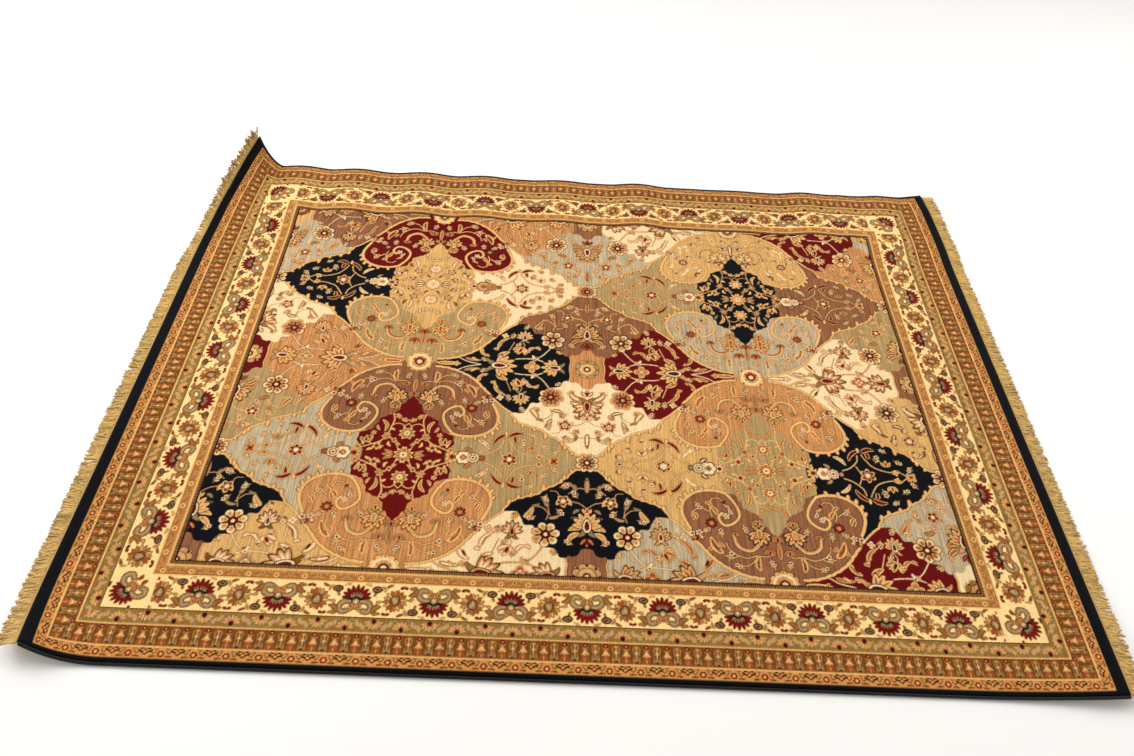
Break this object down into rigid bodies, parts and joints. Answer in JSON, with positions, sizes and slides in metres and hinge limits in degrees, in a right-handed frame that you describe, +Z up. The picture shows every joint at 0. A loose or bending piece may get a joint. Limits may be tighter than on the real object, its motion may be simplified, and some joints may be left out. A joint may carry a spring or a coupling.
{
  "type": "persian rug",
  "caption": "Rectangular pile rug in a traditional panelled garden pattern with floral borders, overcast long sides and short fringes, lying flat with lifted corners.",
  "frame": {"origin": "middle of the rug's flat underside, on the floor", "axes": "+Z up from the floor, +X along the rug's length towards the right-hand fringe, +Y across the width towards the back edge"},
  "size_m": [2.1988, 1.5974, 0.1319],
  "materials": {
    "pile": "short cut pile in many dyed colours on a woven backing",
    "binding": "dark overcast yarn",
    "fringe": "loose beige cotton strands on a sewn tape"
  },
  "bodies": {
    "root": {"rug": "pile", "binding_front": "binding", "binding_back": "binding", "fringe_left": "fringe", "fringe_right": "fringe"}
  },
  "joints": []
}
